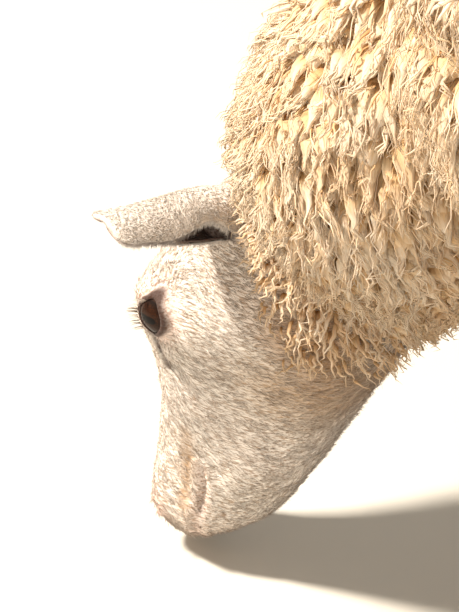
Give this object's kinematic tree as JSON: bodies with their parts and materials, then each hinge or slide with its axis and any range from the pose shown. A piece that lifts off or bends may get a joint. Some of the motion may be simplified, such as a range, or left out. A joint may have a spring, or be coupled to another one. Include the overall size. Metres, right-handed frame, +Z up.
{
  "type": "sheep",
  "caption": "Life-size white-faced ewe in a full, long curly fleece, standing square with her neck lowered and her muzzle at the floor to graze.",
  "frame": {"origin": "middle of the floor under the ewe, level with the soles of her hooves", "axes": "+Z up; she faces -Y; +X is her left side"},
  "size_m": [0.4594, 1.0534, 0.7269],
  "materials": {
    "fleece": "long, curly cream wool in locks, golden tan between them",
    "hair": "short, flat, off-white hair over pale pink skin",
    "eye": "wet, glossy amber-brown eye with a level slit pupil",
    "horn": "worn grey-brown hoof horn"
  },
  "bodies": {
    "root": {"head": "hair", "lower_jaw": "hair", "ear_left": "hair", "ear_right": "hair", "eye_left": "eye", "eye_right": "eye", "neck": "fleece", "trunk": "fleece", "tail": "fleece", "leg_front_left_upper": "fleece", "leg_front_left_lower": "hair", "hoof_front_left_outer": "horn", "dewclaw_front_left_outer": "horn", "hoof_front_left_inner": "horn", "dewclaw_front_left_inner": "horn", "leg_front_right_upper": "fleece", "leg_front_right_lower": "hair", "hoof_front_right_outer": "horn", "dewclaw_front_right_outer": "horn", "hoof_front_right_inner": "horn", "dewclaw_front_right_inner": "horn", "leg_hind_left_upper": "fleece", "leg_hind_left_lower": "hair", "hoof_hind_left_outer": "horn", "dewclaw_hind_left_outer": "horn", "hoof_hind_left_inner": "horn", "dewclaw_hind_left_inner": "horn", "leg_hind_right_upper": "fleece", "leg_hind_right_lower": "hair", "hoof_hind_right_outer": "horn", "dewclaw_hind_right_outer": "horn", "hoof_hind_right_inner": "horn", "dewclaw_hind_right_inner": "horn"}
  },
  "joints": []
}
